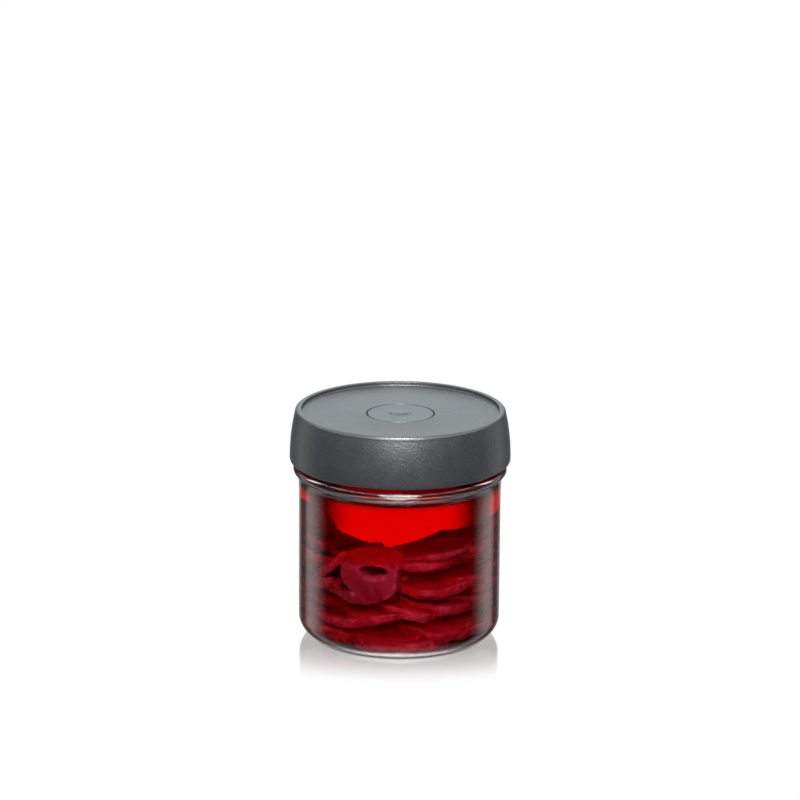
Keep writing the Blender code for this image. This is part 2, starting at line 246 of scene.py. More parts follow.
# What shows straight through the glass: the wall, the room in front, and how the rest is dimmed
WALL_GLOW = 1.05
FRONT_RISE = (75, 100)
FRONT_GLOW = 0.9
LOW_RISE = (-0.5, -0.38)
HIGH_FADE = (-0.26, -0.14)
HIGH_LOSS = 0.98
# The lit table that the foot mirrors
TABLE_FADE = (-0.9, -0.70)
TABLE_SIDES = (20, 55)
TABLE_GLOW = 3.2
# Lamps: name, width and height, place, the point that each faces, and watts
LAMPS = (
    ("front", (0.95, 0.55), (0.0, -1.08, 0.60), (0, 0, 0.06), 26),
    ("above", (0.30, 0.22), (0.0, -0.40, 0.82), (0, -0.04, 0.09), 16),
    ("behind", (0.40, 0.20), (0.0, 0.50, 0.45), (0, -0.02, 0.09), 0.2),
)


class Value:
    """A shader socket that Python's operators work on, each adding a Math node."""

    def __init__(self, bench, socket):
        self.bench = bench
        self.socket = socket

    def math(self, operation, *others):
        inputs = dict(enumerate((self, *others)))
        return self.bench.add("Math", {"operation": operation}, inputs)

    def __add__(self, other):
        return self.math("ADD", other)

    def __sub__(self, other):
        return self.math("SUBTRACT", other)

    def __rsub__(self, other):
        return self.bench.add("Math", {"operation": "SUBTRACT"}, {0: other, 1: self})

    def __mul__(self, other):
        return self.math("MULTIPLY", other)

    def smooth(self, low, high):
        """0 below low, 1 above high, and a smooth rise between."""
        settings = {"interpolation_type": "SMOOTHSTEP"}
        return self.bench.add("MapRange", settings, {"Value": self, "From Min": low, "From Max": high})


class Bench:
    """A node tree on which one material, or the world, is made."""

    def __init__(self, tree, output):
        self.tree = tree
        tree.nodes.clear()
        self.output = tree.nodes.new(output)

    def add(self, kind, settings=None, inputs=None, output=0):
        """A node of that type, its settings set first, then the values or links of its sockets."""
        node = self.tree.nodes.new("ShaderNode" + kind)
        for name, value in (settings or {}).items():
            setattr(node, name, value)
        for name, value in (inputs or {}).items():
            socket = node.inputs[name]
            if isinstance(value, Value):
                self.tree.links.new(value.socket, socket)
            elif isinstance(value, tuple) and len(value) == 3 and socket.type == "RGBA":
                socket.default_value = (*value, 1.0)
            else:
                socket.default_value = value
        return Value(self, node.outputs[output])

    def finish(self, surface, volume=None):
        self.tree.links.new(surface.socket, self.output.inputs["Surface"])
        if volume is not None:
            self.tree.links.new(volume.socket, self.output.inputs["Volume"])

    def mix(self, factor, first, second):
        """A colour between two colours."""
        node = self.tree.nodes.new("ShaderNodeMix")
        node.data_type = "RGBA"
        for index, value in ((0, factor), (6, first), (7, second)):
            if isinstance(value, Value):
                self.tree.links.new(value.socket, node.inputs[index])
            elif index == 0:
                node.inputs[index].default_value = value
            else:
                node.inputs[index].default_value = (*value, 1.0)
        return Value(self, node.outputs[2])

    def noise(self, scale, detail=3.0, roughness=0.5):
        """Noise in the piece's own coordinates, by its number of features in a metre."""
        place = self.add("TexCoord", output=3)
        inputs = {"Vector": place, "Scale": scale, "Detail": detail, "Roughness": roughness}
        return self.add("TexNoise", None, inputs)


def new_material(name):
    made = bpy.data.materials.new(name)
    made.use_nodes = True
    return made, Bench(made.node_tree, "ShaderNodeOutputMaterial")


def lid_plastic(name, base, roughness):
    """Charcoal moulded plastic: satin, with a fine grain, faint mottling and a few pale specks painted in
    as glints of the grain.
    """
    made, bench = new_material(name)
    grain = bench.noise(1000, 3.0, 0.6)
    mottle = bench.noise(160, 4.0, 0.6)
    # Painted glints: pale specks lighten the colour where the grain would sparkle
    painted_glints = bench.noise(1100, 1.0).smooth(0.62, 0.72)
    darker = tuple(c * 0.86 for c in base)
    lighter = tuple(c * 1.16 for c in base)
    colour = bench.mix(mottle, darker, lighter)
    colour = bench.mix(painted_glints * 0.35, colour, tuple(min(1, c * 2.4) for c in base))
    bump = bench.add("Bump", None, {"Strength": 0.7, "Distance": 0.00016, "Height": grain})
    surface = bench.add(
        "BsdfPrincipled",
        None,
        {
            "Base Color": colour,
            "Roughness": (mottle - 0.5) * 0.16 + roughness,
            "IOR": 1.5,
            "Normal": bump,
        },
    )
    bench.finish(surface)
    return made


def clear_glass():
    """Clear pressed glass with the faintest ripple."""
    made, bench = new_material("clear_glass")
    ripple = bench.noise(26, 1.0)
    bump = bench.add("Bump", None, {"Strength": 0.05, "Distance": 0.001, "Height": ripple})
    surface = bench.add(
        "BsdfPrincipled",
        None,
        {
            "Base Color": (0.985, 0.99, 0.99),
            "Roughness": 0.0,
            "IOR": 1.5,
            "Transmission Weight": 1.0,
            "Normal": bump,
        },
    )
    bench.finish(surface)
    return made


def beet_brine():
    """Clear red brine: it lets red through and takes green and blue within a few millimetres."""
    made, bench = new_material("beet_brine")
    surface = bench.add(
        "BsdfPrincipled",
        None,
        {
            "Base Color": (1.0, 1.0, 1.0),
            "Roughness": 0.0,
            "IOR": 1.34,
            "Transmission Weight": 1.0,
        },
    )
    volume = bench.add("VolumeAbsorption", None, {"Color": (0.99, 0.0, 0.14), "Density": 150.0})
    bench.finish(surface, volume)
    return made


def beet_flesh():
    """Wet beet: deep red flesh with growth rings, darker by a tone mark that holds both own tone and
    painted shade, and pinker in patches along the rim as a painted highlight.
    """
    made, bench = new_material("beet_flesh")
    ring = bench.add("Attribute", {"attribute_name": "ring"}, output=2)
    rim = bench.add("Attribute", {"attribute_name": "rim"}, output=2)
    tone = bench.add("Attribute", {"attribute_name": "tone"}, output=2)
    cloud = bench.noise(170, 3.0, 0.55)
    patch = bench.noise(420, 2.0, 0.5)
    fibre = bench.noise(900, 2.0, 0.6)
    bands = ((ring + cloud * 0.9) * 2.6).math("SINE") * 0.5 + 0.5
    colour = bench.mix(bands * 0.5, (0.35, 0.003, 0.015), (0.48, 0.009, 0.040))
    # Painted shade: the tone mark darkens slices that sit in shade, the core and the curl's hollow, besides
    # each slice's own tone
    colour = bench.mix(tone * 0.8, colour, (0.10, 0.001, 0.006))
    # Painted highlight: pink patches along the rims, where light catches the slices' edges
    rim_highlight = rim * cloud.smooth(0.38, 0.62) * patch.smooth(0.35, 0.65)
    colour = bench.mix(rim_highlight * 0.6, colour, (0.60, 0.05, 0.14))
    bump = bench.add("Bump", None, {"Strength": 0.4, "Distance": 0.0004, "Height": fibre + patch * 0.8})
    surface = bench.add(
        "BsdfPrincipled",
        None,
        {
            "Base Color": colour,
            "Roughness": cloud * 0.2 + 0.3,
            "IOR": 1.2,
            "Normal": bump,
        },
    )
    bench.finish(surface)
    return made


def floor_finish():
    """White floor that mirrors the jar only close to its foot, with a painted contact shadow where the foot
    stands.
    """
    made, bench = new_material("white_floor")
    place = bench.add("NewGeometry")
    narrow = bench.add("VectorMath", {"operation": "MULTIPLY"}, {0: place, 1: (MIRROR_NARROW, 1, 1)})
    reach = bench.add("VectorMath", {"operation": "LENGTH"}, {0: narrow}, output=1)
    near = 1 - reach.smooth(*MIRROR_FADE)
    white = bench.add("Emission", None, {"Color": (1.0, 1.0, 1.0), "Strength": 1.0})
    mirror = bench.add("BsdfGlossy", None, {"Color": (1.0, 1.0, 1.0), "Roughness": 0.06})
    surface = bench.add("MixShader", None, {0: near * MIRROR, 1: white, 2: mirror})
    distance = bench.add("VectorMath", {"operation": "LENGTH"}, {0: place}, output=1)
    # Painted shadow: a dark ring on the floor where the foot stands
    contact_shadow = (1 - distance.smooth(*CONTACT_FADE)) * CONTACT_SHADE
    painted_shade = bench.add("Emission", None, {"Color": (0.0, 0.0, 0.0), "Strength": 0.0})
    surface = bench.add("MixShader", None, {0: contact_shadow, 1: surface, 2: painted_shade})
    bench.finish(surface)
    return made


def arc(centre_r, centre_z, radius, start, end, steps):
    """Points of a round corner in the turning plane, from one angle to another in degrees."""
    points = []
    for i in range(steps + 1):
        angle = math.radians(start + (end - start) * i / steps)
        points.append((centre_r + radius * math.cos(angle), centre_z + radius * math.sin(angle)))
    return points


def new_piece(name, points, faces, finish, sharp_angle=PLASTIC_SHARP):
    """A shown mesh object that rides on the part's one body."""
    mesh = bpy.data.meshes.new(name)
    mesh.from_pydata(points, [], faces)
    mesh.update()
    mesh.shade_smooth()
    mesh.set_sharp_from_angle(angle=math.radians(sharp_angle))
    mesh.materials.append(finish)
    made = bpy.data.objects.new(name, mesh)
    bpy.context.scene.collection.objects.link(made)
    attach(made, "root")
    return made


def turned_mesh(profile):
    """Points and faces of a turned shell, whose profile may start or end on the axis."""
    points = []
    rings = []
    for r, z in profile:
        if r == 0:
            rings.append([len(points)] * TURN_STEPS)
            points.append((0.0, 0.0, z))
            continue
        rings.append(list(range(len(points), len(points) + TURN_STEPS)))
        for i in range(TURN_STEPS):
            angle = math.tau * i / TURN_STEPS
            points.append((r * math.cos(angle), r * math.sin(angle), z))
    faces = []
    for upper, lower in zip(rings, rings[1:]):
        if upper[0] == upper[1] and lower[0] == lower[1]:
            continue
        for i in range(TURN_STEPS):
            j = (i + 1) % TURN_STEPS
            corners = [upper[j], upper[i], lower[i], lower[j]]
            faces.append(tuple(dict.fromkeys(corners)))
    return points, faces


def skirt_radius(z):
    """Outer radius of the lid's bowed side at a height."""
    low = LID_LOW.z + SKIRT_ROUND
    high = LID_HIGH.z - RIM_ROUND
    share = (z - low) / (high - low)
    return LID_WIDEST - (LID_WIDEST - RIM_OUTER) * share**BOW_POWER


def lid_profile():
    """Half section of the lid, from the well's middle over the rim to the underside's middle."""
    under = SUNK_TOP - LID_THICK
    edge = LID_EDGE
    well_floor = SUNK_TOP - WELL_DEPTH
    points = [(0, well_floor), (WELL_RADIUS - WELL_ROUND, well_floor)]
    points += [(WELL_RADIUS, well_floor + WELL_ROUND)]
    points += arc(WELL_RADIUS + edge, SUNK_TOP - edge, edge, 180, 90, 5)
    cove_steps = 12
    for i in range(cove_steps):
        share = i / cove_steps
        r = RIM_INNER - COVE_WIDTH + (COVE_WIDTH - COVE_ROUND) * share
        points.append((r, SUNK_TOP + COVE_RISE * share**2))
    points += arc(RIM_INNER - COVE_ROUND, SUNK_TOP + COVE_RISE + COVE_ROUND, COVE_ROUND, -80, 0, 8)
    points += arc(RIM_INNER + RIM_INNER_ROUND, LID_HIGH.z - RIM_INNER_ROUND, RIM_INNER_ROUND, 180, 90, 6)
    points += arc(RIM_OUTER - RIM_ROUND, LID_HIGH.z - RIM_ROUND, RIM_ROUND, 90, 0, 10)
    wall_steps = 26
    high = LID_HIGH.z - RIM_ROUND
    low = LID_LOW.z + SKIRT_ROUND
    for i in range(1, wall_steps):
        z = high + (low - high) * i / wall_steps
        points.append((skirt_radius(z), z))
    points += arc(LID_WIDEST - SKIRT_ROUND, low, SKIRT_ROUND, 0, -90, 10)
    points += arc(SKIRT_INNER + edge, LID_LOW.z + edge, edge, 270, 180, 4)
    points += [(SKIRT_INNER, under), (0, under)]
    return points


def make_lid(finish):
    """The lid, turned as one shell."""
    points, faces = turned_mesh(lid_profile())
    lid = new_piece("lid_shell", points, faces, finish)
    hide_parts("lid")


def button_height(x, y):
    """Height of the button's top at a place: flat, with the dimple and the bar in its middle."""
    share = min(1, math.hypot(x, y) / DIMPLE_RADIUS)
    z = SUNK_TOP - DIMPLE_DEPTH * math.cos(share * math.pi / 2) ** 2
    along = max(0, abs(x) - (BAR_LENGTH - BAR_WIDTH) / 2)
    off = math.hypot(along, y) / (BAR_WIDTH / 2)
    return z + BAR_HEIGHT / (1 + off**6)


def make_button(finish):
    """The valve button: a disc with a soft edge, a shallow finger dimple and a raised bar in it."""
    flat = BUTTON_RADIUS - BUTTON_EDGE
    radii = [DIMPLE_RADIUS * (i + 1) / 16 for i in range(16)]
    radii += [DIMPLE_RADIUS + (flat - DIMPLE_RADIUS) * (i + 1) / 6 for i in range(6)]
    rings = [(r, None) for r in radii]
    rings += arc(flat, SUNK_TOP - BUTTON_EDGE, BUTTON_EDGE, 75, 0, 5)
    rings += [(BUTTON_RADIUS, BUTTON_LOW.z)]
    points = [(0, 0, button_height(0, 0))]
    loops = []
    for r, z in rings:
        loops.append(list(range(len(points), len(points) + BUTTON_STEPS)))
        for i in range(BUTTON_STEPS):
            x = r * math.cos(math.tau * i / BUTTON_STEPS)
            y = r * math.sin(math.tau * i / BUTTON_STEPS)
            points.append((x, y, button_height(x, y) if z is None else z))
    last = len(points)
    points.append((0, 0, BUTTON_LOW.z))
    faces = []
    for i in range(BUTTON_STEPS):
        j = (i + 1) % BUTTON_STEPS
        faces.append((0, loops[0][i], loops[0][j]))
        for inner, outer in zip(loops, loops[1:]):
            faces.append((inner[j], inner[i], outer[i], outer[j]))
        faces.append((loops[-1][j], loops[-1][i], last))
    button = new_piece("button_disc", points, faces, finish)
    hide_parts("valve_button")


def shoulder_radius(z):
    """Outer radius of the glass just under the bead, where it flares out."""
    fade = math.exp(-(BEAD_HEIGHT - BEAD_ROUND - z) / SHOULDER_FADE)
    return BODY_RADIUS + SHOULDER_FLARE * fade


def inner_profile(grow):
    """The glass's inside from the middle of its base up to the neck, moved outward by grow."""
    points = [(0, BASE_TOP - grow)]
    for share in (0.25, 0.5, 0.75):
        r = (INNER_RADIUS - INNER_ROUND) * share
        points.append((r, BASE_THICK + (BASE_TOP - BASE_THICK) * (1 - share) - grow))
    points += arc(INNER_RADIUS - INNER_ROUND, BASE_THICK + INNER_ROUND, INNER_ROUND + grow, -90, 0, 16)
    blend_steps = 6
    for i in range(blend_steps + 1):
        share = i / blend_steps
        ease = share * share * (3 - 2 * share)
        r = INNER_RADIUS + (NECK_INNER - INNER_RADIUS) * ease
        points.append((r + grow, BEAD_HEIGHT + NECK_BLEND * (share - 0.5)))
    return points


def make_glass(finish):
    """The glass: lip, neck, bead, body and foot outside, and the inside up to the lip again."""
    lip = (NECK_OUTER - NECK_INNER) / 2
    points = arc(NECK_INNER + lip, GLASS_HIGH.z - lip, lip, 180, 0, 16)
    for outward, above in NECK_FILLET:
        points.append((NECK_OUTER + outward * MM, BEAD_HEIGHT + BEAD_ROUND + above * MM))
    points += arc(BEAD_RADIUS - BEAD_ROUND, BEAD_HEIGHT, BEAD_ROUND, 80, -62, 22)
    shoulder_steps = 20
    for i in range(1, shoulder_steps + 1):
        z = BEAD_HEIGHT - BEAD_ROUND - SHOULDER_DROP * (i / shoulder_steps) ** 1.6
        points.append((shoulder_radius(z), z))
    points += arc(BODY_RADIUS - FOOT_ROUND, FOOT_ROUND, FOOT_ROUND, 0, -90, 24)
    push_steps = 8
    for i in range(push_steps):
        share = i / push_steps
        points.append((FOOT_RING_INNER * (1 - share), PUSH_UP * math.sin(share * math.pi / 2)))
    points.append((0, PUSH_UP))
    outside, outside_faces = turned_mesh(points)
    inside, inside_faces = turned_mesh(inner_profile(0.0))
    shift = len(outside)
    faces = outside_faces + [tuple(i + shift for i in face) for face in inside_faces]
    top_ring = shift + len(inside) - TURN_STEPS
    for i in range(TURN_STEPS):
        j = (i + 1) % TURN_STEPS
        faces.append((top_ring + j, top_ring + i, i, j))
    glass = new_piece("glass_shell", outside + inside, faces, finish, ROUND_SHARP)
    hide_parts("glass_jar")


def make_brine(finish):
    """The brine, up to its level, with a rise along the glass. It reaches just into the wall, so
    that no air shows between."""
    outer = INNER_RADIUS + BRINE_INTO_WALL
    profile = [(0, BRINE_LEVEL)]
    steps = 14
    for i in range(steps + 1):
        r = outer - MENISCUS_REACH * (1 - i / steps) ** 2
        profile.append((r, BRINE_LEVEL + MENISCUS * math.exp((r - outer) / MENISCUS_FADE)))
    top = profile[-1][1]
    profile += [(r, z) for r, z in inner_profile(BRINE_INTO_WALL)[::-1] if z < top]
    points, faces = turned_mesh(profile)
    new_piece("beet_brine", points, faces, finish, ROUND_SHARP)


def pressed(point):
    """Moves a point of a slice inside the glass, as slices pressed on the wall lie flat along it."""
    z = max(point.z, HEAP_FLOOR)
    limit = SLICE_REACH
    below = BASE_THICK + INNER_ROUND - z
    if below > 0:
        limit += math.sqrt(max(INNER_ROUND**2 - below**2, 0)) - INNER_ROUND
    distance = math.hypot(point.x, point.y)
    scale = min(1.0, limit / distance) if distance > 0 else 1.0
    return Vector((point.x * scale, point.y * scale, z))


def front_slices(draw):
    """Size and place of the slices that show at the front, each given one by one."""
    plan = []
    for degrees, height, lean, tilt, radius, thick, tone in FRONT:
        plan.append(
            {
                "angle": math.radians(degrees),
                "distance": SLICE_REACH - radius * MM,
                "height": height * MM,
                "tilt": math.radians(tilt),
                "lean": math.radians(lean),
                "radius": radius * MM,
                "thick": thick * MM,
                "oval": 1.0,
                "ripple": [draw.uniform(*FRONT_RIPPLE) for _ in range(SLICE_SIDES)],
                "tone": tone,
            }
        )
    return plan


def stacked_slices(draw):
    """Size and place of each slice in the stacks, from the floor up. Low slices lie flatter."""
    plan = []
    for degrees, top, lean_out in STACKS:
        room = top * MM - HEAP_FLOOR
        layers = round(room / SLICE_PITCH)
        for layer in range(layers):
            radius = SLICE_RADIUS * draw.uniform(0.88, 1.12)
            plan.append(
                {
                    "angle": math.radians(degrees + draw.uniform(-7, 7)),
                    "distance": SLICE_REACH - radius + draw.uniform(-1.8, 1.0) * MM,
                    "height": HEAP_FLOOR + room * (layer + draw.uniform(0.4, 0.6)) / layers,
                    "tilt": math.radians(draw.uniform(-9, 9)),
                    "lean": math.radians(lean_out * min(1, (layer + 1) / 3) + draw.uniform(-4, 4)),
                    "radius": radius,
                    "thick": SLICE_THICK * draw.uniform(0.85, 1.1),
                    "oval": draw.uniform(0.86, 1.0),
                    "ripple": [draw.uniform(*LOOSE_RIPPLE) for _ in range(SLICE_SIDES)],
                }
            )
    return plan


def leaning_slices(draw):
    """Size and place of the smaller slices that lean up the wall, above the stacks."""
    plan = []
    for degrees in LEANING_ANGLES:
        plan.append(
            {
                "angle": math.radians(degrees),
                "distance": LEANING_DISTANCE,
                "height": LEANING_HEIGHT + draw.uniform(-1.2, 1.2) * MM,
                "tilt": math.radians(draw.uniform(-12, 12)),
                "lean": math.radians(LEANING_TILT + draw.uniform(-5, 5)),
                "radius": LEANING_RADIUS * draw.uniform(0.92, 1.08),
                "thick": SLICE_THICK * 0.9,
                "oval": draw.uniform(0.9, 1.0),
                "ripple": [draw.uniform(*LOOSE_RIPPLE) for _ in range(SLICE_SIDES)],
            }
        )
    return plan


class Heap:
    """Points, faces and marks of the slices, gathered for one mesh."""

    def __init__(self):
        self.points = []
        self.faces = []
        self.ring = []
        self.rim = []
        self.tone = []

    def add_rings(self, rings, rims, tone):
        """A closed shell from loops of points, each with its growth mark and how much darker painted shade
        makes it.
        The first and last loops are single points."""
        loops = []
        for loop, rim in zip(rings, rims):
            loops.append(list(range(len(self.points), len(self.points) + len(loop))))
            for point, mark, painted_shade in loop:
                self.points.append(pressed(point))
                self.ring.append(mark / MARK_PITCH)
                self.rim.append(rim)
                self.tone.append(tone + painted_shade)
        for upper, lower in zip(loops, loops[1:]):
            count = max(len(upper), len(lower))
            for i in range(count):
                j = (i + 1) % count
                a, b = upper[i % len(upper)], upper[j % len(upper)]
                c, d = lower[j % len(lower)], lower[i % len(lower)]
                self.faces.append(tuple(dict.fromkeys((b, a, d, c))))


SLICE_STEPS = 84
# Half section of a slice: share of its radius, share of its half thickness, and how much painted rim
# highlight it gets
SLICE_SECTION = (
    (0.0, 1.0, 0.0),
    (0.18, 1.0, 0.0),
    (0.34, 1.0, 0.0),
    (0.48, 1.0, 0.0),
    (0.60, 1.0, 0.0),
    (0.70, 1.0, 0.0),
    (0.79, 1.0, 0.1),
    (0.87, 1.0, 0.3),
    (0.925, 0.98, 0.7),
    (0.955, 0.90, 1.0),
    (0.975, 0.74, 1.0),
    (0.99, 0.50, 0.7),
    (1.0, 0.24, 0.5),
    (1.0, 0.0, 0.4),
)


def add_slice(heap, piece, number):
    """One slice: a bent, wavy disc with a frayed rim, laid in its place and pressed on the glass."""
    section = list(SLICE_SECTION)
    section += [(share, -high, rim) for share, high, rim in SLICE_SECTION[-2::-1]]
    spot = Matrix.Rotation(piece["angle"], 4, "Z")
    spot = spot @ Matrix.Translation((0, -piece["distance"], piece["height"]))
    spot = spot @ Matrix.Rotation(piece["lean"], 4, "X") @ Matrix.Rotation(piece["tilt"], 4, "Y")
    chance = random.Random(SEED * 1000 + number)
    turn = chance.uniform(0, math.tau)
    bend = chance.uniform(0.3, 1.1) * MM
    rough_scale, crag_scale, fine_scale = SLICE_RELIEF
    seed = Vector((number * 7.3, number * 3.1, 0))
    rings = []
    rims = []
    for share, high, rim in section:
        count = 1 if share == 0 else SLICE_STEPS
        loop = []
        for i in range(count):
            angle = math.tau * i / SLICE_STEPS
            place = angle / math.tau * SLICE_SIDES
            first = int(place)
            part = place - first
            ripple = piece["ripple"][first % SLICE_SIDES] * (1 - part)
            ripple += piece["ripple"][(first + 1) % SLICE_SIDES] * part
            r = piece["radius"] * share * (1 + ripple)
            x = r * math.cos(angle)
            y = r * math.sin(angle) * piece["oval"]
            side = 1 if high >= 0 else -1
            z = piece["thick"] / 2 * high + bend * math.cos(2 * (angle - turn)) * share**2
            spot_in = Vector((x, y, z + side * 3 * MM))
            rough = noise.noise(spot_in * rough_scale + seed)
            crag = abs(noise.noise(spot_in * crag_scale - seed))
            fine = noise.noise(spot_in * fine_scale + seed)
            edge = share**4
            z += side * (rough * 0.6 - crag * 0.6 * edge + fine * 0.07) * MM
            swell = (rough * 0.8 - crag * 1.3 + fine * 0.16) * MM * edge
            along = Vector((math.cos(angle), math.sin(angle), 0)) * swell
            loop.append((spot @ (Vector((x, y, z)) + along), r / MM, 0.0))
        rings.append(loop)
        rims.append(rim)
    tone = piece["tone"] if "tone" in piece else chance.uniform(*LOOSE_TONE)
    heap.add_rings(rings, rims, tone)


def outline_point(angle):
    """Distance from the curl's hollow to its outline at an angle, with the outline's corners eased."""
    centre = Vector(CURL_HOLLOW[:2])
    corners = [Vector(point) - centre for point in CURL_OUTLINE]
    total = Vector((0, 0))
    weight = 0
    for offset, share in ((-CORNER_EASE, 0.25), (0, 0.5), (CORNER_EASE, 0.25)):
        ray = Vector((math.cos(angle + offset), math.sin(angle + offset)))
        for a, b in zip(corners, corners[1:] + corners[:1]):
            across = ray.x * (b - a).y - ray.y * (b - a).x
            if abs(across) < 1e-9:
                continue
            reach = (a.x * (b - a).y - a.y * (b - a).x) / across
            along = (a.x * ray.y - a.y * ray.x) / across
            if reach > 0 and 0 <= along <= 1:
                total += Vector((math.cos(angle), math.sin(angle))) * reach * share
                weight += share
                break
    return total / weight


# Section of the curl from its hollow's end, over the rolled rim, down its outside to its back:
# share of the way from the hollow to the outline, scale, depth in mm, and how much painted rim highlight it
# gets
CURL_SECTION = (
    (0.0, 0.0, 10.0, 0.0),
    (0.0, 0.8, 10.0, 0.0),
    (0.0, 0.92, 7.0, 0.0),
    (0.0, 1.0, 4.0, 0.1),
    (0.03, 1.0, 2.2, 0.7),
    (0.08, 1.0, 1.2, 1.0),
    (0.16, 1.0, 1.0, 0.6),
    (0.28, 1.0, 1.1, 0.0),
    (0.42, 1.0, 1.1, 0.0),
    (0.56, 1.0, 1.1, 0.0),
    (0.70, 1.0, 1.2, 0.0),
    (0.82, 1.0, 1.4, 0.1),
    (0.91, 1.0, 1.9, 0.6),
    (0.97, 1.0, 2.6, 1.0),
    (1.0, 1.0, 3.8, 0.7),
    (1.0, 1.0, 6.5, 0.1),
    (1.0, 0.94, 9.5, 0.0),
    (1.0, 0.82, 13.0, 0.0),
    (1.0, 0.66, 16.0, 0.0),
    (1.0, 0.0, 16.5, 0.0),
)


def laid_back(v, depth):
    """Height and depth of a point of the curl: its upper lip falls back from the glass."""
    back = CURL_FALL_BACK * max(0, v - CURL_LIP)
    return v - CURL_SINK * back, depth + back


def add_curl(heap):
    """The curled slice at the front: a thick fold, its two lips apart over a hollow, with painted shade on
    its lower part and in the hollow.
    """
    turn = Matrix.Rotation(math.radians(CURL_ANGLE), 4, "Z")
    middle_u, middle_v, wide, tall = CURL_HOLLOW
    rough_scale, crag_scale, fine_scale = CURL_RELIEF
    aside = Vector((9, 0, 0))
    further = Vector((9, 4, 0))
    rings = []
    rims = []
    for share, scale, depth, rim in CURL_SECTION:
        count = 1 if scale == 0 else CURL_STEPS
        loop = []
        for i in range(count):
            angle = math.tau * i / CURL_STEPS
            hollow = Vector((wide * math.cos(angle), tall * math.sin(angle)))
            outer = outline_point(angle)
            flat = hollow.lerp(outer, share)
            u = middle_u + flat.x
            v = middle_v + flat.y
            if share == 1.0:
                u, v = u * scale, v * scale
            else:
                u = middle_u + (u - middle_u) * scale
                v = middle_v + (v - middle_v) * scale
            spot_in = Vector((u, v, depth))
            rough = noise.noise(spot_in * rough_scale)
            crag = abs(noise.noise(spot_in * crag_scale + further))
            fine = noise.noise(spot_in * fine_scale + aside)
            deep = depth + (rough * 1.6 - crag * 1.2 + fine * 0.3) * min(1, 2 * share)
            u += rough * 0.8 * share
            v += (fine * 0.5 + rough * 0.5) * share
            # Painted shade: darker on the curl's lower part, and fully dark inside the hollow
            painted_shade = CURL_SHADE * (1 - min(1, max(0, (v - 1) / 4))) * min(1, 0.6 + 2 * abs(rough))
            if share == 0.0:
                painted_shade = 1.0
            v, deep = laid_back(v, deep)
            spot = turn @ Vector((u * MM, deep * MM - INNER_RADIUS, CURL_HEIGHT + v * MM))
            loop.append((spot, share * 8 + depth * 0.4, painted_shade))
        rings.append(loop)
        rims.append(rim)
    heap.add_rings(rings, rims, 0.0)


def add_core(heap):
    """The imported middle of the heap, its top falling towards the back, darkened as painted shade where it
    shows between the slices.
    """
    section = (
        (0.0, 1.0),
        (0.5, 1.0),
        (0.9, 1.0),
        (1.0, 0.95),
        (1.0, 0.7),
        (1.0, 0.4),
        (1.0, 0.0),
        (0.5, 0.0),
        (0.0, 0.0),
    )
    rings = []
    for share, high in section:
        count = 1 if share == 0 else CORE_STEPS
        loop = []
        for i in range(count):
            angle = math.tau * i / CORE_STEPS
            x = CORE_RADIUS * share * math.cos(angle)
            y = CORE_RADIUS * share * math.sin(angle)
            top = CORE_TOP - CORE_SLOPE * y
            z = HEAP_FLOOR + (top - HEAP_FLOOR) * high
            bulge = 1 + 0.03 * noise.noise(Vector((x, y, z)) * 150)
            loop.append((Vector((x * bulge, y * bulge, z)), share * 20, 0.0))
        rings.append(loop)
    heap.add_rings(rings, [0.0] * len(rings), CORE_SHADE)


def make_beets(finish):
    """Every slice, the curl and the core as one mesh, with marks that its finish reads."""
    heap = Heap()
    draw = random.Random(SEED)
    plan = front_slices(draw) + stacked_slices(draw) + leaning_slices(draw)
    add_core(heap)
    for number, piece in enumerate(plan):
        add_slice(heap, piece, number)
    add_curl(heap)
    beets = new_piece("beet_rounds", heap.points, heap.faces, finish, SLICE_SHARP)
    for name, values in (("ring", heap.ring), ("rim", heap.rim), ("tone", heap.tone)):
        mark = beets.data.attributes.new(name, "FLOAT", "POINT")
        mark.data.foreach_set("value", np.array(values, np.float32))
    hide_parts("beet_slices")


def make_camera():
    """The photo's camera: its aim point on the jar's axis falls on its pixel, without lens shift."""
    lens = bpy.data.cameras.new("camera")
    lens.sensor_width = SENSOR
    lens.lens = FOCAL_PX / FRAME_PX * SENSOR
    lens.clip_start = 0.05
    lens.clip_end = 60
    camera = bpy.data.objects.new("camera", lens)
    bpy.context.scene.collection.objects.link(camera)
    right = (AIM_PX[0] - FRAME_PX / 2) / FOCAL_PX
    down = (AIM_PX[1] - FRAME_PX / 2) / FOCAL_PX
    camera.location = (
        0,
        -VIEW_DISTANCE * math.cos(VIEW_DOWN),
        AIM_HEIGHT + VIEW_DISTANCE * math.sin(VIEW_DOWN),
    )
    camera.rotation_mode = "XYZ"
    turn = Matrix.Rotation(math.atan(right), 3, "Z")
    turn = turn @ Matrix.Rotation(math.pi / 2 - VIEW_DOWN + math.atan(down), 3, "X")
    turn = turn @ Matrix.Rotation(VIEW_ROLL, 3, "Z")
    camera.rotation_euler = turn.to_euler()
    bpy.context.scene.camera = camera


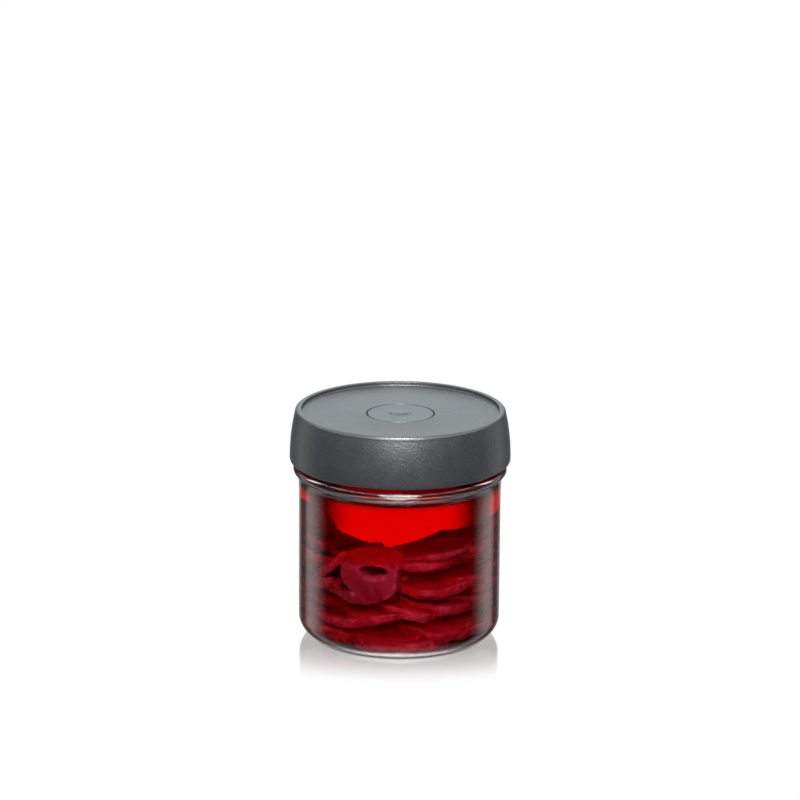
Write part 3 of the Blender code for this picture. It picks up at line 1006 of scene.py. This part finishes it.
def make_world():
    """A studio seen by every ray but the camera's: a bright wall behind the jar, a panel at each
    side, darkness between them and in front, a soft glow from above and from the floor below, and a
    lit table that shows in what mirrors it. Straight through the glass, the wall and the room in
    front show, and what is high or far below is dim."""
    world = bpy.data.worlds.new("studio")
    bpy.context.scene.world = world
    world.use_nodes = True
    bench = Bench(world.node_tree, "ShaderNodeOutputWorld")
    way = bench.add("TexCoord", output=0)
    split = bench.tree.nodes.new("ShaderNodeSeparateXYZ")
    bench.tree.links.new(way.socket, split.inputs[0])
    side, back, up = (Value(bench, split.outputs[name]) for name in "XYZ")
    turn = side.math("ABSOLUTE").math("ARCTAN2", back) * (180 / math.pi)
    behind = 1 - turn.smooth(*WALL_FADE)
    wall = behind * (up.smooth(*FLOOR_RISE) * (1 - FLOOR_GLOW) + FLOOR_GLOW)
    panel = turn.smooth(*PANEL_RISE) * (1 - turn.smooth(*PANEL_FADE)) * PANEL_GLOW
    panel = panel * (1 - up.smooth(*PANEL_TOP))
    gap = (1 - turn.smooth(*PANEL_FADE)) * GAP_GLOW
    above = up.smooth(*ABOVE_RISE)
    level = (wall + panel + gap).math("MINIMUM", 1.0)
    below = (up * -1).smooth(*BELOW_RISE)
    glow = level + (1 - level) * below * BELOW_GLOW + above * ABOVE_GLOW
    path = bench.tree.nodes.new("ShaderNodeLightPath")
    seen = Value(bench, path.outputs["Is Camera Ray"])
    cool = up.smooth(*COOL_RISE) * (1 - seen)
    through = Value(bench, path.outputs["Is Transmission Ray"])
    clear = through * (1 - Value(bench, path.outputs["Diffuse Depth"]).math("MINIMUM", 1.0))
    straight = clear * (1 - Value(bench, path.outputs["Glossy Depth"]).math("MINIMUM", 1.0))
    not_low = up.smooth(*LOW_RISE)
    shown = (behind * WALL_GLOW + turn.smooth(*FRONT_RISE) * FRONT_GLOW) * not_low
    glow = glow * (1 - clear * (1 - not_low))
    glow = glow.math("MAXIMUM", straight * shown)
    mirrored = Value(bench, path.outputs["Is Glossy Ray"])
    table = (1 - up.smooth(*TABLE_FADE)) * (1 - turn.smooth(*TABLE_SIDES))
    glow = glow + mirrored * table * TABLE_GLOW
    strip = up.smooth(*STRIP_RISE) * (1 - up.smooth(*STRIP_FADE)) * turn.smooth(*STRIP_SIDES)
    glow = glow + strip * STRIP_GLOW
    glow = glow * (1 - clear * up.smooth(*HIGH_FADE) * HIGH_LOSS)
    strength = glow * (1 - seen) + seen
    colour = bench.mix(cool, (1.0, 1.0, 1.0), COOL_SKY)
    light = bench.add("Background", None, {"Color": colour, "Strength": strength})
    bench.finish(light)


def make_softbox(name, size, place, aim, power):
    """An oval soft light that faces a point."""
    lamp = bpy.data.lights.new(name, "AREA")
    lamp.shape = "ELLIPSE"
    lamp.size, lamp.size_y = size
    lamp.energy = power
    made = bpy.data.objects.new(name, lamp)
    bpy.context.scene.collection.objects.link(made)
    made.location = place
    made.rotation_euler = (Vector(aim) - Vector(place)).to_track_quat("-Z", "Y").to_euler()
    made.visible_camera = False


def make_stage():
    """The white floor, which mirrors only the jar: rays that the glass bends or mirrors pass it by."""
    mesh = bpy.data.meshes.new("floor")
    half = FLOOR_HALF
    corners = [(-half, -half, 0), (half, -half, 0), (half, half, 0), (-half, half, 0)]
    mesh.from_pydata(corners, [], [(0, 1, 2, 3)])
    mesh.materials.append(floor_finish())
    floor = bpy.data.objects.new("floor", mesh)
    bpy.context.scene.collection.objects.link(floor)
    floor.location.z = -FLOOR_DROP
    floor.visible_glossy = False
    floor.visible_transmission = False
    floor.visible_diffuse = False
    floor.visible_shadow = False


make_camera()
make_world()
make_stage()
for lamp_row in LAMPS:
    make_softbox(*lamp_row)
make_lid(lid_plastic("charcoal_plastic", (0.016, 0.0165, 0.0185), 0.34))
make_button(lid_plastic("button_plastic", (0.018, 0.020, 0.023), 0.32))
make_glass(clear_glass())
make_brine(beet_brine())
make_beets(beet_flesh())
bpy.context.scene.view_settings.view_transform = "Standard"
